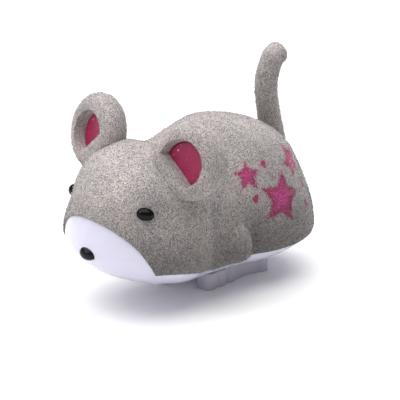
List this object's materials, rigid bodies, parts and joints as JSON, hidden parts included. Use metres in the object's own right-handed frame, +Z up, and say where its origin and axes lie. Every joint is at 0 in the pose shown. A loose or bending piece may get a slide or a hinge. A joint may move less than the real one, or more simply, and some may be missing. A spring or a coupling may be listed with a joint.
{
  "type": "clockwork mouse",
  "caption": "Wind-up walking mouse: flocked shell and tail on a white muzzle tray, with a spring movement, gear train and cranked feet",
  "frame": {"origin": "standing centre: on the floor between the soles, in the mouse's middle plane", "axes": "+Z up, the mouse faces -Y, +X is its left side"},
  "size_m": [0.0393, 0.0479, 0.0374],
  "materials": {
    "grey_flock": "short grey flock on moulded plastic",
    "white_plastic": "glossy white moulding",
    "ear_lining": "glossy magenta lacquer",
    "black_bead": "polished black",
    "foot_plastic": "smooth grey moulding",
    "nylon": "unfilled nylon",
    "steel": "drawn steel",
    "spring_steel": "blued spring steel",
    "brass": "stamped brass",
    "knob_plastic": "glossy white moulding"
  },
  "bodies": {
    "case": {"base_tray": "white_plastic", "upper_shell": "grey_flock", "left_ear": "grey_flock", "right_ear": "grey_flock", "left_ear_lining": "ear_lining", "right_ear_lining": "ear_lining", "tail": "grey_flock", "left_eye": "black_bead", "right_eye": "black_bead", "nose": "black_bead", "movement_frame": "nylon", "movement_cover": "nylon", "movement_screws": "steel", "mounting_screws": "steel", "case_screws": "steel", "mainspring": "spring_steel", "second_gear_pin": "steel", "star_wheel_pin": "steel", "pallet_pin": "steel"},
    "cranks": {"crank_axle": "steel", "crank_pinion": "nylon", "left_crank": "nylon", "right_crank": "nylon"},
    "left_foot": {"left_foot": "foot_plastic"},
    "right_foot": {"right_foot": "foot_plastic"},
    "second_gear": {"second_gear": "nylon"},
    "main_gear": {"main_gear": "nylon"},
    "click": {"click": "brass"},
    "winder": {"winding_arbor": "steel", "winding_knob": "knob_plastic", "ratchet_wheel": "steel"},
    "star_wheel": {"star_wheel": "brass"},
    "pallet": {"pallet": "brass"}
  },
  "joints": [
    {"name": "crank_turn", "type": "hinge", "parent": "case", "child": "cranks", "pos_m": [0, 0.004, 0.008], "axis": [1, 0, 0], "continuous": true},
    {"name": "left_foot_level", "type": "hinge", "parent": "cranks", "child": "left_foot", "pos_m": [0.0041, 0.0055, 0.008], "axis": [1, 0, 0], "continuous": true},
    {"name": "right_foot_level", "type": "hinge", "parent": "cranks", "child": "right_foot", "pos_m": [-0.0041, 0.0025, 0.008], "axis": [1, 0, 0], "continuous": true},
    {"name": "second_gear_turn", "type": "hinge", "parent": "case", "child": "second_gear", "pos_m": [0, 0.004, 0.0152], "axis": [1, 0, 0], "continuous": true},
    {"name": "main_gear_turn", "type": "hinge", "parent": "case", "child": "main_gear", "pos_m": [0, 0.0115, 0.01243], "axis": [1, 0, 0], "continuous": true},
    {"name": "star_wheel_turn", "type": "hinge", "parent": "case", "child": "star_wheel", "pos_m": [0, -0.00309, 0.01395], "axis": [1, 0, 0], "continuous": true},
    {"name": "wind", "type": "hinge", "parent": "main_gear", "child": "winder", "pos_m": [0, 0.0115, 0.01243], "axis": [-1, 0, 0], "range_deg": [0, 1440]},
    {"name": "click_lift", "type": "hinge", "parent": "main_gear", "child": "click", "pos_m": [0.0008, 0.00778, 0.01457], "axis": [1, 0, 0], "range_deg": [0, 14], "stiffness_Nm_per_rad": 0.00002},
    {"name": "pallet_rock", "type": "hinge", "parent": "case", "child": "pallet", "pos_m": [0, -0.00841, 0.01252], "axis": [-1, 0, 0], "range_deg": [0, 7]}
  ],
  "couplings": [
    {"joint": "left_foot_level", "follows": "crank_turn", "ratio": -1},
    {"joint": "right_foot_level", "follows": "crank_turn", "ratio": -1},
    {"joint": "second_gear_turn", "follows": "crank_turn", "ratio": -0.38462},
    {"joint": "main_gear_turn", "follows": "crank_turn", "ratio": 0.12821},
    {"joint": "star_wheel_turn", "follows": "crank_turn", "ratio": 1}
  ]
}
